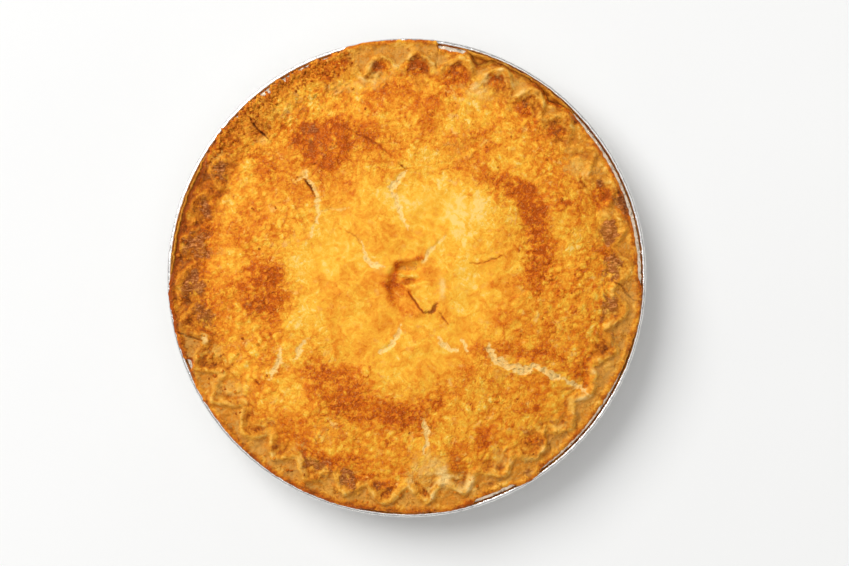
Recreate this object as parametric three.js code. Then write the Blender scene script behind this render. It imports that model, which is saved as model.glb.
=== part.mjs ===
import * as THREE from 'three';

// A fruit pie with a bottom and a top crust, baked in a foil pan. Millimetres, +Z up.
// The origin is the centre of the pan's flat base, and +Y is the far side of the pie.

const { degToRad, smoothstep } = THREE.MathUtils;

// Foil pan: a pressed sheet with a flange and a rolled bead
const foilThickness = 0.6;
const beadRadius = 1.25;
const panOuterRadius = 122.25;          // over the bead
const panMouthRadius = 110.5;           // where the wall bends into the flange
const panBaseRadius = 93;
const flangeHeight = 29.9;              // underside of the flange
const beadHeight = 29.7;                // centre of the bead
const baseBend = 4;
const mouthBend = 1.6;
const ribRadius = 62;                   // raised ring pressed into the base
const ribHalfWidth = 3;
const ribRise = 1.4;
const fluteCount = 36;
const fluteDepth = 0.45;

// Crusts
const clearance = 0.35;                 // left between pieces that touch
const bottomThickness = 3.6;
const rimThickness = 2.45;              // bottom crust where it lies on the flange
const crustEdgeRadius = 119.4;
const edgeRound = 0.6;
const topEdgeInset = 1.3;               // top crust's edge inside the bottom crust's edge
const domeRadius = 103.5;

// Zigzag crimp: one ridge that swings in and out between its teeth
const toothCount = 34;
const ridgeRadius = 109.45;             // middle of the swing
const ridgeSwing = 4.35;
const ridgeHalfWidth = 2.2;
const ridgeHeight = 39.2;
const firstTooth = degToRad(44.5);      // angle of an outer point of the zigzag

// Steam vent, a little off the middle of the lid
const ventOffset = new THREE.Vector2(3.7, -5.3);
const ventRadius = 13;
const ventDepth = 3.2;

// Heights of the rim, worked up from the pan
const flangeTop = flangeHeight + foilThickness;
const beadTop = beadHeight + beadRadius;
const rimBottom = flangeTop + clearance;
const rimTop = rimBottom + rimThickness;
const lidBottom = rimTop + clearance;
const lidEdge = lidBottom + 1.7;

// The pan's wall leans out from its base to its mouth
const wallLean = Math.atan2(panMouthRadius - panBaseRadius, flangeHeight);
const beadCentre = panOuterRadius - beadRadius;

// Where the crust's edge lies further in or out than its mean radius, by angle in degrees
const edgeLobes = [
  { angle: 22, width: 26, out: -1.7 },
  { angle: 94, width: 13, out: 1.7 },
  { angle: 126, width: 4, out: -1.2 },
  { angle: 190, width: 12, out: 1.6 },
  { angle: 202, width: 4, out: -1.4 },
  { angle: 292, width: 6, out: -1.8 },
  { angle: 325, width: 30, out: -0.5 },
];
const lowerStrip = { angle: 60, width: 14, out: -2.4 };   // here the bottom crust's edge shows most

function lobe(angle, { angle: middle, width, out }) {
  const apart = Math.atan2(Math.sin(angle - degToRad(middle)), Math.cos(angle - degToRad(middle)));
  return out * Math.exp(-((apart / degToRad(width)) ** 2));
}

function bottomEdge(angle) {
  return edgeLobes.reduce((radius, spot) => radius + lobe(angle, spot), crustEdgeRadius);
}

function topEdge(angle) {
  return bottomEdge(angle) - topEdgeInset + lobe(angle, lowerStrip);
}

// 1 at an outer point of the zigzag, -1 at an inner point, straight in between
function toothWave(angle) {
  const turns = (angle - firstTooth) * toothCount / (2 * Math.PI);
  return 4 * Math.abs(turns - Math.floor(turns) - 0.5) - 1;
}

// The pan's section from its floor to its flange. The floor is raised, the wall moved in and the
// flange raised by their own distances, and each bend is drawn in a number of steps.
function panLine(floorRise, wallInset, flangeRise, bendSteps) {
  const lean = Math.tan(wallLean);
  const sideways = wallInset / Math.cos(wallLean);
  const base = new THREE.Vector2(panBaseRadius - sideways + lean * floorRise, floorRise);
  const mouthRise = flangeHeight + flangeRise;
  const mouth = new THREE.Vector2(panBaseRadius - sideways + lean * mouthRise, mouthRise);
  const along = mouth.clone().sub(base).normalize();
  const bendEnd = base.clone().addScaledVector(along, baseBend);
  const mouthStart = mouth.clone().addScaledVector(along, -mouthBend);
  const middle = bendEnd.clone().lerp(mouthStart, 0.5);
  const line = new THREE.Path();
  line.moveTo(base.x - baseBend, base.y);
  line.quadraticCurveTo(base.x, base.y, bendEnd.x, bendEnd.y);
  line.lineTo(middle.x, middle.y);
  line.lineTo(mouthStart.x, mouthStart.y);
  line.quadraticCurveTo(mouth.x, mouth.y, mouth.x + mouthBend, mouth.y);
  return line.getPoints(bendSteps);
}

// A solid turned about +Z from a profile that runs out along its underside and back over its top.
// Its first line of vertices is at a start angle, and move(ring, angle) gives each ring's place.
function turned(profile, segments, start, move) {
  const geometry = new THREE.LatheGeometry(profile, segments, start + Math.PI / 2);
  geometry.rotateX(Math.PI / 2);
  const place = geometry.attributes.position;
  for (let index = 0; index < place.count; index++) {
    const angle = Math.atan2(place.getY(index), place.getX(index));
    const { radius, height, shift } = move(profile[index % profile.length], angle);
    const side = shift ?? new THREE.Vector2();
    place.setXYZ(index, radius * Math.cos(angle) + side.x, radius * Math.sin(angle) + side.y, height);
  }
  geometry.computeVertexNormals();
  return geometry;
}

function ribbedFloor(height) {
  return [
    new THREE.Vector2(0, height),
    new THREE.Vector2(ribRadius - ribHalfWidth, height),
    new THREE.Vector2(ribRadius, height + ribRise),
    new THREE.Vector2(ribRadius + ribHalfWidth, height),
  ];
}

function bead() {
  const arc = new THREE.Path();
  const start = Math.PI - Math.asin((flangeHeight - beadHeight) / beadRadius);
  const end = Math.PI - Math.asin((flangeTop - beadHeight) / beadRadius);
  arc.absarc(beadCentre, beadHeight, beadRadius, start, 2 * Math.PI, false);
  arc.absarc(beadCentre, beadHeight, beadRadius, 0, end, false);
  return arc.getPoints(2);
}

function foilPan() {
  const thick = foilThickness;
  const under = [...ribbedFloor(0), ...panLine(0, 0, 0, 2)];
  const over = [...ribbedFloor(thick), ...panLine(thick, thick, thick, 2)];
  const flutes = (ring, angle) => {
    const onWall = smoothstep(ring.y, 3, 12) * (1 - smoothstep(ring.y, flangeHeight - 3, flangeHeight));
    return { radius: ring.x + fluteDepth * onWall * Math.cos(fluteCount * angle), height: ring.y };
  };
  return turned([...under, ...bead(), ...over.reverse()], 2 * fluteCount, 0, flutes);
}

// The bottom crust lines the pan, lies on the flange and reaches over the bead in places
function bottomCrust() {
  const floor = foilThickness + clearance;
  const wall = floor + fluteDepth;
  const under = panLine(floor, wall, rimBottom - flangeHeight, 2);
  const over = panLine(floor + bottomThickness, wall + bottomThickness, rimTop - flangeHeight, 1);
  const overBead = crustEdgeRadius - 1.4;
  const edge = [
    { x: overBead, y: rimBottom },
    { x: crustEdgeRadius, y: rimBottom, follows: -edgeRound },
    { x: crustEdgeRadius, y: (rimBottom + rimTop) / 2, follows: 0 },
    { x: crustEdgeRadius, y: rimTop, follows: -edgeRound },
  ];
  const inside = [...over.reverse(), { x: 0, y: floor + bottomThickness }];
  const move = (ring, angle) => {
    if (ring.follows === undefined) {
      return { radius: Math.min(ring.x, bottomEdge(angle) - 2 * edgeRound), height: ring.y };
    }
    const radius = bottomEdge(angle) + ring.follows;
    const low = ring.y === rimBottom ? beadTop + clearance - rimBottom : 0;
    return { radius, height: ring.y + low * smoothstep(radius, overBead, overBead + 1) };
  };
  return turned([...ribbedFloor(floor), ...under, ...edge, ...inside], 2 * toothCount, firstTooth, move);
}

// The lid is solid down to the bottom crust, as the pie is uncut. Each ring of its top says how far
// it swings out and how much it is lifted at the outer points of the zigzag.
function topCrust() {
  const floor = foilThickness + 2 * clearance + bottomThickness;
  const under = panLine(floor, floor + fluteDepth, lidBottom - flangeHeight, 1);
  const edge = [
    { x: crustEdgeRadius, y: lidBottom, follows: -edgeRound },
    { x: crustEdgeRadius, y: (lidBottom + lidEdge) / 2, follows: 0 },
    { x: crustEdgeRadius, y: lidEdge, follows: -edgeRound },
  ];
  const crimp = [
    { x: ridgeRadius + ridgeHalfWidth, y: ridgeHeight - 2.3, swing: ridgeSwing - 0.8, lift: -0.4 },
    { x: ridgeRadius, y: ridgeHeight, swing: ridgeSwing, lift: -0.5 },
    { x: ridgeRadius - ridgeHalfWidth, y: ridgeHeight - 2.1, swing: ridgeSwing - 1, lift: -0.5 },
    { x: domeRadius, y: ridgeHeight - 2.2, swing: 0.9, lift: -0.6 },
  ];
  const dome = [
    { x: 99, y: 38.7 },
    { x: 91, y: 41.2 },
    { x: 76, y: 43.9 },
    { x: 56, y: 45.9 },
    { x: 34, y: 47 },
    { x: ventRadius + 4, y: 47.1 },
    { x: ventRadius, y: 46.6 },
    { x: ventRadius - 3.5, y: 46.6 - ventDepth },
    { x: 0, y: 46.9 - ventDepth },
  ];
  const move = (ring, angle) => {
    const wave = toothWave(angle);
    if (ring.follows !== undefined) {
      return { radius: topEdge(angle) + ring.follows, height: ring.y };
    }
    const radius = ring.x + (ring.swing ?? 0) * wave;
    const outer = topEdge(angle) - 2 * edgeRound;
    const offset = ring.y > lidEdge ? 1 - smoothstep(ring.x, ventRadius + 6, 70) : 0;
    const shift = ventOffset.clone().multiplyScalar(offset);
    return { radius: Math.min(radius, outer), height: ring.y + (ring.lift ?? 0) * wave, shift };
  };
  const profile = [{ x: 0, y: floor }, ...under, ...edge, ...crimp, ...dome];
  return turned(profile, 2 * toothCount, firstTooth, move);
}

function piece(name, geometry, color, roughness, metalness) {
  const mesh = new THREE.Mesh(geometry, new THREE.MeshStandardMaterial({ color, roughness, metalness }));
  mesh.name = name;
  return mesh;
}

const pie = new THREE.Group();
pie.add(piece('foil_pan', foilPan(), 0xc4c6c8, 0.35, 1));
pie.add(piece('bottom_crust', bottomCrust(), 0xc98a3e, 0.8, 0));
pie.add(piece('top_crust', topCrust(), 0xf0a238, 0.6, 0));

export default pie;
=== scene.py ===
import math
import random
import bmesh
import bpy
from mathutils import Euler, Matrix, Vector, kdtree, noise
from mathutils.bvhtree import BVHTree


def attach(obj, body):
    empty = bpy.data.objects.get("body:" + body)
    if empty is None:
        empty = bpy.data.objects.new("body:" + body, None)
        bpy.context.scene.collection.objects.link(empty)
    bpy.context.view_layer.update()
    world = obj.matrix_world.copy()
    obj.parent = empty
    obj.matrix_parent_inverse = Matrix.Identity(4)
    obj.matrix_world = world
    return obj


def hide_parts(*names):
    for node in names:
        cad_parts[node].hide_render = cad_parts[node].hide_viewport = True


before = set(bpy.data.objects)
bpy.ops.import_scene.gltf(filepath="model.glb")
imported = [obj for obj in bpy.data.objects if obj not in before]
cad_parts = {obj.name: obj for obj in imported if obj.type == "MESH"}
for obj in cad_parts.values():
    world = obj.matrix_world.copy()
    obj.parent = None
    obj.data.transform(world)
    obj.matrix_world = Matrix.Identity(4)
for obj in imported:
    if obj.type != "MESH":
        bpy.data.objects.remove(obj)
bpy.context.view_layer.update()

mm = 0.001  # shapes are worked out in millimetres
scaleToMetres = Matrix.Diagonal((mm, mm, mm, 1.0))
mergeDistance = 0.0005  # points nearer than this become one


# small helpers

def smooth(low, high, value):  # 0 at low, 1 at high, either way round
    part = min(max((value - low) / (high - low), 0.0), 1.0)
    return part * part * (3 - 2 * part)


def blend(first, second, part):
    return first + (second - first) * part


def hump(distance, width):
    return math.exp(-(distance / width) ** 2)


def grain(x, y, size, seed=0.0):  # smooth noise from -1 to 1, size in mm
    return noise.noise(Vector((x / size, y / size, seed)))


def turnBetween(angle, middle):  # degrees from one angle to another
    return (angle - middle + 180) % 360 - 180


def sector(angle, start, end, soft):  # 1 between two angles in degrees
    half = (end - start) / 2
    return smooth(half + soft / 2, half - soft / 2, abs(turnBetween(angle, start + half)))


def around(radius, degrees):  # x and y at an angle
    turn = math.radians(degrees)
    return radius * math.cos(turn), radius * math.sin(turn)


def srgb(red, green, blue):  # an 8-bit screen colour as a linear one
    parts = [value / 255 for value in (red, green, blue)]
    return tuple(p / 12.92 if p < 0.04045 else ((p + 0.055) / 1.055) ** 2.4 for p in parts) + (1.0,)


def treeOf(places):  # finds the nearest of some places
    tree = kdtree.KDTree(len(places))
    for index, place in enumerate(places):
        tree.insert((place[0], place[1], 0), index)
    tree.balance()
    return tree


def spun(section, steps):  # a section turned once round the middle of the pie
    bm = bmesh.new()
    points = [bm.verts.new((point.x, 0.0, point.y)) for point in section]
    edges = [bm.edges.new(pair) for pair in zip(points, points[1:])]
    bmesh.ops.spin(bm, geom=points + edges, cent=(0, 0, 0), axis=(0, 0, 1), angle=2 * math.pi,
                   steps=steps, use_merge=True)
    bmesh.ops.remove_doubles(bm, verts=bm.verts, dist=mergeDistance)
    return bm


def makeMesh(bm, name, material):  # an object in metres from a shape in millimetres
    mesh = bpy.data.meshes.new(name)
    bmesh.ops.transform(bm, matrix=scaleToMetres, verts=bm.verts)
    bm.to_mesh(mesh)
    bm.free()
    mesh.materials.append(material)
    made = bpy.data.objects.new(name, mesh)
    bpy.context.scene.collection.objects.link(made)
    return made


def makePiece(bm, name, material):
    piece = makeMesh(bm, name, material)
    piece.data.polygons.foreach_set("use_smooth", [True] * len(piece.data.polygons))
    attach(piece, "root")
    return piece


# materials

class Value:  # a socket that can be used in sums
    def __init__(self, nodes, socket):
        self.nodes = nodes
        self.socket = socket

    def sum(self, operation, *others):
        numbers = dict(enumerate((self, *others)))
        return self.nodes.node("ShaderNodeMath", {"operation": operation}, numbers)

    def __add__(self, other):
        return self.sum("ADD", other)

    def __sub__(self, other):
        return self.sum("SUBTRACT", other)

    def __mul__(self, other):
        return self.sum("MULTIPLY", other)

    def __rsub__(self, other):
        return self.nodes.node("ShaderNodeMath", {"operation": "SUBTRACT"}, {0: other, 1: self})

    __radd__ = __add__
    __rmul__ = __mul__

    def step(self, low, high):  # 0 at low and 1 at high, smoothly
        ends = {"Value": self, "From Min": low, "From Max": high}
        return self.nodes.node("ShaderNodeMapRange", {"interpolation_type": "SMOOTHSTEP"}, ends)


class Nodes:  # adds nodes to one tree
    def __init__(self, tree):
        self.tree = tree

    def node(self, kind, settings=None, sockets=None, output=0):
        made = self.tree.nodes.new(kind)
        for key, setting in (settings or {}).items():
            if key == "stops":
                self.setStops(made.color_ramp, setting)
            else:
                setattr(made, key, setting)
        for key, value in (sockets or {}).items():
            self.plug(made.inputs[key], value)
        return Value(self, made.outputs[output])

    def plug(self, socket, value):
        if isinstance(value, Value):
            self.tree.links.new(value.socket, socket)
        else:
            socket.default_value = value

    def setStops(self, ramp, stops):
        while len(ramp.elements) < len(stops):
            ramp.elements.new(1.0)
        for element, (place, colour) in zip(ramp.elements, stops):
            element.position = place
            element.color = colour


class Finish(Nodes):  # one material
    def __init__(self, name):
        self.material = bpy.data.materials.new(name)
        self.material.use_nodes = True
        super().__init__(self.material.node_tree)
        self.shader = self.tree.nodes["Principled BSDF"]

    def place(self):  # object coordinates in millimetres
        here = self.node("ShaderNodeTexCoord", output="Object")
        return self.node("ShaderNodeVectorMath", {"operation": "SCALE"}, {0: here, "Scale": 1 / mm})

    def noise(self, place, size, detail=2.0, rough=0.5, bend=0.0):
        sockets = {"Vector": place, "Scale": 1 / size, "Detail": detail, "Roughness": rough}
        return self.node("ShaderNodeTexNoise", {}, {**sockets, "Distortion": bend})

    def mask(self, name):  # a value painted on the mesh's points
        return self.node("ShaderNodeAttribute", {"attribute_name": name}, output="Fac")

    def ramp(self, stops, value):
        return self.node("ShaderNodeValToRGB", {"stops": stops}, {"Fac": value})

    def mix(self, first, second, part):
        return self.node("ShaderNodeMix", {"data_type": "RGBA"}, {0: part, 6: first, 7: second}, output=2)

    def bump(self, height, distance, strength):
        sockets = {"Height": height, "Distance": distance * mm, "Strength": strength}
        return self.node("ShaderNodeBump", {}, sockets)

    def wear(self, **sockets):  # plugs the shader's own sockets
        for name, value in sockets.items():
            self.plug(self.shader.inputs[name.replace("_", " ")], value)


# painted on the points of each crust
marks = ("toast", "blob", "pressed", "pale", "glaze", "hollow", "rough", "rind")

pastry = {
    # this browning value also carries painted shade in creases, pockets, gaps and the vent's walls
    "toast": [  # pale to dark, as the dough browns
        (0.00, srgb(252, 207, 114)),
        (0.14, srgb(251, 195, 72)),
        (0.28, srgb(248, 180, 51)),
        (0.40, srgb(243, 164, 46)),
        (0.52, srgb(237, 149, 36)),
        (0.64, srgb(227, 132, 27)),
        (0.75, srgb(219, 115, 13)),
        (0.86, srgb(207, 99, 8)),
        (0.96, srgb(191, 84, 5)),
        (1.00, srgb(179, 77, 4)),
    ],
    "rind": [  # the same for the duller, drier rim
        (0.00, srgb(248, 196, 100)),
        (0.20, srgb(240, 174, 66)),
        (0.38, srgb(227, 151, 44)),
        (0.55, srgb(210, 128, 31)),
        (0.72, srgb(189, 104, 22)),
        (0.88, srgb(158, 80, 15)),
        (1.00, srgb(118, 57, 10)),
    ],
    "pressed": srgb(213, 147, 60),
    "pressedDark": srgb(170, 100, 26),
    "pressedGrey": srgb(216, 158, 74),
    "pressedWarm": srgb(214, 132, 34),
    "crumb": srgb(255, 216, 136),
    "crumbDark": srgb(248, 188, 94),
    "floury": srgb(249, 200, 92),
    "glazed": srgb(148, 77, 24),
    "paintedGlint": srgb(228, 150, 82),
    "cream": srgb(250, 198, 112),
    "paintedSparkle": srgb(232, 152, 78),
    "hollow": srgb(84, 42, 10),
    "grains": {  # noises: size in mm, detail, roughness and bend
        "swirl": (6.5, 4.0, 0.6, 1.2),
        "flake": (2.3, 3.0, 0.6, 0.8),
        "speck": (0.85, 2.0, 0.6),
        "drift": (21.0, 2.0, 0.5),
        "patch": (4.2, 2.0, 0.5, 0.5),
    },
    "streaks": {"turn": 0.6, "stretch": (0.5, 1.4, 1), "grain": (1.5, 3.0, 0.7, 0.5)},
    "wanderScale": 0.22,
    "cellScale": 0.24,
    "chipScale": 0.7,
    "bend": 9.0,  # how far the cells are pushed out of shape
    "specular": 0.1,
    "coat": 0.05,
    "coatRoughness": 0.22,
}


def bakedPastry(name):
    finish = Finish(name)
    place = finish.place()
    toast, blob, pressed, pale, glaze, hollow, rough, rind = (finish.mask(mark) for mark in marks)
    grains = {key: finish.noise(place, *setting) for key, setting in pastry["grains"].items()}
    swirl, flake, speck, drift, patch = grains.values()

    def sway(value, **shares):  # adds noises, each of them about zero
        for key, share in shares.items():
            value = value + (grains[key] - 0.5) * share
        return value

    streaks = pastry["streaks"]
    tilted = {"Vector": place, "Rotation": (0, 0, streaks["turn"]), "Scale": streaks["stretch"]}
    streak = finish.noise(finish.node("ShaderNodeMapping", {}, tilted), *streaks["grain"])
    wander = {"Vector": place, "Scale": pastry["wanderScale"], "Detail": 3.0}
    wander = finish.node("ShaderNodeTexNoise", {}, wander, output="Color")
    pushed = {0: wander, 1: (pastry["bend"],) * 3, 2: place}
    bent = finish.node("ShaderNodeVectorMath", {"operation": "MULTIPLY_ADD"}, pushed)
    cells = {"Vector": bent, "Scale": pastry["cellScale"]}
    cells = finish.node("ShaderNodeTexVoronoi", {"feature": "DISTANCE_TO_EDGE"}, cells)
    chips = {"Vector": bent, "Scale": pastry["chipScale"]}
    chips = finish.node("ShaderNodeTexVoronoi", {"feature": "F1"}, chips, output="Color")
    chips = finish.node("ShaderNodeRGBToBW", {}, {"Color": chips})
    net = (1.0 - cells.step(0.0, 0.2)) * rough * (drift + patch * 0.6).step(0.6, 0.95)

    # how brown it is, with the painted shade carried along in the same value, and the colour of that
    brown = sway(toast, drift=0.4, swirl=1.1) + (flake.step(0.32, 0.68) - 0.5) * 0.2 * (rough + 0.2)
    # blister tops come out lighter and the valleys between darker: partly the dough's own mottling, partly
    # painted light and shade
    brown = brown + (speck - 0.5) * 0.5 * rough - (blob - 0.5) * 0.34 + net * 0.1 - 0.055
    brown = brown + (chips - 0.5) * (rough * 0.16 + 0.1)
    colour = finish.ramp(pastry["toast"], brown)
    creamy = (patch * 0.8 + flake * 0.4).step(0.66, 0.86) * rough * (1.0 - brown.step(0.5, 0.75)) * 0.65
    colour = finish.mix(colour, pastry["cream"], creamy)
    # painted highlight: small bright sparkles on the browner places
    sparkleShare = (speck + flake * 0.3).step(0.7, 0.84) * brown.step(0.6, 0.85) * 0.5
    colour = finish.mix(colour, pastry["paintedSparkle"], sparkleShare)

    # the drier rim and the pressed facets outside the zigzag
    dry = sway(toast * 0.85, patch=1.2, flake=0.9, speck=0.5) - (blob - 0.5) * 0.2
    dry = finish.ramp(pastry["rind"], dry)
    colour = finish.mix(colour, dry, sway(rind, swirl=0.8, patch=0.5).step(0.2, 0.85) * 0.92)
    dark = (swirl * 0.7 + flake * 0.7 + speck * 0.45).step(0.92, 1.04)
    facet = finish.mix(pastry["pressed"], pastry["pressedDark"], dark)
    facet = finish.mix(facet, pastry["pressedGrey"], (patch * 0.9 + flake * 0.5).step(0.7, 0.8) * 0.75)
    warm = (drift * 0.5 + swirl * 0.7 + chips * 0.2).step(0.69, 0.78) * 0.85
    facet = finish.mix(facet, pastry["pressedWarm"], warm)
    flat = sway(pressed, patch=1.8, flake=1.2).step(0.1, 0.95) * pressed.step(0.0, 0.3) * 0.82
    colour = finish.mix(colour, facet, flat)

    # bare dough, pooled glaze with painted glints, and painted shade inside holes, slits, pits and gaps,
    # with a few scorched marks
    bare = finish.mix(pastry["crumb"], pastry["crumbDark"], (flake * 0.6 + speck * 0.5).step(0.5, 0.72))
    bare = finish.mix(pastry["floury"], bare, pale.step(0.35, 0.8))
    torn = sway(pale, flake=1.1, swirl=0.9).step(0.15, 0.95) * pale.step(0.0, 0.2) * 0.9
    colour = finish.mix(colour, bare, torn)
    wet = sway(glaze, swirl=1.7, patch=1.6, flake=1.2, drift=1.3).step(0.25, 0.8) * glaze.step(0.05, 0.3)
    # painted highlight: glints drawn over the pooled glaze
    glazeWithPaintedGlint = finish.mix(pastry["glazed"], pastry["paintedGlint"], (streak * 0.8 + speck * 0.35).step(0.55, 0.69))
    colour = finish.mix(colour, glazeWithPaintedGlint, wet * 0.75)
    colour = finish.mix(colour, pastry["hollow"], hollow)

    dull = 0.62 - wet * 0.12 - brown.step(0.4, 0.9) * 0.1 + (flake - 0.5) * 0.3
    relief = (swirl * 1.0 + flake * 0.85 + speck * 0.3 + chips * 0.22 - net * 0.3) * rough
    relief = relief + streak * wet * 0.6 + flake * rind * 0.4
    finish.wear(Base_Color=colour, Roughness=dull, Specular_IOR_Level=pastry["specular"])
    finish.wear(Coat_Weight=wet * pastry["coat"], Coat_Roughness=pastry["coatRoughness"])
    finish.wear(Normal=finish.bump(relief, 0.9, 0.8))
    return finish.material


# bright foil; the other colours are painted light: shade in the pleats' valleys, the crust's reflection on
# the flange, and shade and dark reflections along the groove and the bead
foil = {
    "bright": srgb(240, 239, 236),
    "shade": srgb(146, 146, 147),
    "warm": srgb(226, 198, 160),
    "shadeAndDarkReflection": srgb(84, 68, 54),
}


def panFoil():
    finish = Finish("panFoil")
    place = finish.place()
    dents = finish.noise(place, 9.0, 2.0, 0.5)
    crinkle = finish.noise(place, 2.6, 3.0, 0.6, 0.7)
    rolled = finish.noise(place, 0.5, 2.0, 0.6)
    dull = finish.noise(place, 14.0, 3.0, 0.6)
    groove = finish.mask("groove")
    # painted shade in the pleats' valleys; painted reflections of the crust and dark marks on the flange
    # and bead, with shade in the groove
    shade = (finish.mask("crease") + (crinkle - 0.5) * 0.5 + (dull - 0.5) * 0.6).step(0.1, 0.95)
    shadeAndDarkReflection = (groove * 1.2 + (crinkle - 0.5) * 1.6 + (rolled - 0.5) * 0.8).step(0.6, 1.15)
    colour = finish.mix(foil["bright"], foil["shade"], shade)
    colour = finish.mix(colour, foil["warm"], groove.step(0.05, 0.4) * 0.7)
    colour = finish.mix(colour, foil["shadeAndDarkReflection"], shadeAndDarkReflection * 0.75)
    finish.wear(Base_Color=colour, Metallic=1.0, Roughness=0.14 + dull * 0.14 + shade * 0.1)
    finish.wear(Normal=finish.bump(dents * 0.9 + crinkle * 0.55 + rolled * 0.05, 0.8, 0.6))
    return finish.material


# the foil pan

pan = {
    "outerRadius": 122.25,
    "beadRadius": 1.25,
    "beadHeight": 29.9,
    "mouthRadius": 110.4,
    "flangeHeight": 30.2,
    "baseRadius": 93.0,
    "baseBend": 4.0,
    "mouthBend": 1.6,
    "ribs": [(20, 1.2, 0.5), (62, 3.0, 1.4), (80, 1.2, 0.5)],  # radius, half width, rise
    "ribShape": [(-1, 0), (-0.5, 0.8), (0, 1), (0.5, 0.8), (1, 0)],
    "foil": 0.16,
    "pleats": 104,
    "pleatDepth": 1.15,
    "steps": 936,
    "wallSteps": 7,
    "flangeRings": [113.5, 115.8, 117.8, 119.3],
    "beadStart": 165,  # the curl's first angle, its step and its points
    "beadTurn": 27,
    "beadPoints": 13,
    "wallFoot": (1, 13),  # the pleats fade in over these heights
    "wallTop": (111.2, 109.5),  # and fade out over these radii
}


def panSection():  # from the middle of the base to the curl
    points = [Vector((0.0, 0.0))]
    for radius, half, rise in pan["ribs"]:
        points += [Vector((radius + half * x, rise * y)) for x, y in pan["ribShape"]]
    base = Vector((pan["baseRadius"], 0.0))
    mouth = Vector((pan["mouthRadius"], pan["flangeHeight"]))
    rise = (mouth - base).normalized()
    points += bendPoints(base, Vector((-1, 0)), rise, pan["baseBend"], 5)
    wallSteps = pan["wallSteps"]
    low = base + rise * pan["baseBend"]
    high = mouth - rise * pan["mouthBend"]
    points += [low.lerp(high, step / wallSteps) for step in range(1, wallSteps)]
    points += bendPoints(mouth, -rise, Vector((1, 0)), pan["mouthBend"], 4)
    points += [Vector((radius, pan["flangeHeight"])) for radius in pan["flangeRings"]]
    centre = Vector((pan["outerRadius"] - pan["beadRadius"], pan["beadHeight"]))
    for step in range(pan["beadPoints"]):  # up over the bead and back under the flange
        turn = math.radians(pan["beadStart"] - step * pan["beadTurn"])
        points.append(centre + Vector((math.cos(turn), math.sin(turn))) * pan["beadRadius"])
    return points


def bendPoints(corner, back, on, reach, steps):  # a corner as a quadratic curve
    start = corner + back * reach
    end = corner + on * reach
    places = [step / steps for step in range(steps + 1)]
    return [start * (1 - t) ** 2 + corner * 2 * t * (1 - t) + end * t ** 2 for t in places]


def pleatWave(angle):  # uneven creases round the wall
    drift = noise.noise(Vector((math.cos(angle) * 4, math.sin(angle) * 4, 3.0))) * 1.4
    phase = angle * pan["pleats"] / (2 * math.pi) + drift
    depth = 0.65 + 0.55 * noise.noise(Vector((math.cos(angle) * 17, math.sin(angle) * 17, 7.0)))
    saw = abs((phase % 1.0) * 2 - 1)
    return (saw - 0.5) * 2 * depth


def buildPan(material):
    bm = spun(panSection(), pan["steps"])
    bmesh.ops.recalc_face_normals(bm, faces=bm.faces)
    bmesh.ops.solidify(bm, geom=bm.faces[:], thickness=pan["foil"])
    creased = bm.verts.layers.float.new("crease")
    grooved = bm.verts.layers.float.new("groove")
    for vert in bm.verts:
        x, y, z = vert.co
        radius = math.hypot(x, y)
        if radius < 1:
            continue
        wall = smooth(*pan["wallFoot"], z) * smooth(*pan["wallTop"], radius)
        crease = pleatWave(math.atan2(y, x))
        flange = smooth(110.5, 112.5, radius)
        # values for the painted shade in the pleats' valleys, and for the painted shade and reflections
        # along the groove, flange and bead
        vert[creased] = (0.45 - 0.6 * crease) * max(wall, 0.4 * flange)
        vert[grooved] = 0.75 * hump(radius - 119.6, 0.4) + 0.28 * flange * smooth(120.0, 119.4, radius)
        vert[grooved] += 0.2 * smooth(121.9, 122.2, radius)
        out = crease * pan["pleatDepth"] * wall
        out += 0.14 * crease * smooth(119.4, 121.0, radius)
        out += 0.3 * grain(x, y, 60, 2.0) * smooth(95, 110, radius)
        lift = 0.11 * crease * flange * smooth(120.5, 118.5, radius)
        lift += (0.18 * grain(x, y, 16, 4.0) + 0.12 * grain(x, y, 3, 5.0)) * flange
        grown = (radius + out) / radius
        vert.co = (x * grown, y * grown, z + lift)
    lowest = min(vert.co.z for vert in bm.verts)
    bmesh.ops.translate(bm, verts=bm.verts, vec=(0, 0, -lowest))
    piece = makePiece(bm, "foilPan", material)
    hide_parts("foil_pan")


# the rim of the crust, shared by both crusts

rim = {
    "edgeRadius": 119.9,
    "noiseRadius": 120,
    "seat": 30.4,  # the crust lies on the flange
    "beadTop": 31.3,
    # start and end in degrees, how far the edge is drawn in there, and softness
    "drawnIn": [
        (-1, 44, 2.0, 5), (75.5, 82.3, 2.2, 0.8), (106, 123, 0.5, 3), (125, 129, 2.3, 2),
        (200.5, 203, 2.4, 1.0), (259, 269, 0.3, 3), (287, 297.5, 2.0, 1.5), (305, 335, 1.6, 6),
        (335, 346, 0.6, 4),
    ],
    "pushedOut": [
        (82.6, 105.5, 1.4, 0.8), (179, 189, 1.5, 4), (189.5, 200, 1.0, 1.5), (203, 258, 0.6, 6),
        (277, 285, 0.7, 3), (298.5, 304, 0.9, 1.5),
    ],
    "raggedAll": 0.4,
    "ragged": [(106, 150, 2.0, 6), (203, 222, 0.4, 8), (150, 190, 0.3, 8)],
    # gaps where the lid stops short: angle, width and depth
    "bites": [(51.2, 2.6, 2.9), (65.5, 2.2, -0.6), (71.4, 1.9, 4.2)],
    # where the lower crust stands out from under the lid: angles, how far, height of its lip, softness
    "lips": [(45, 75, 1.5, 3.2, 5), (149, 180, 1.7, 2.6, 8), (0, 0.1, 0.8, 0.6, 6)],
}


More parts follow.
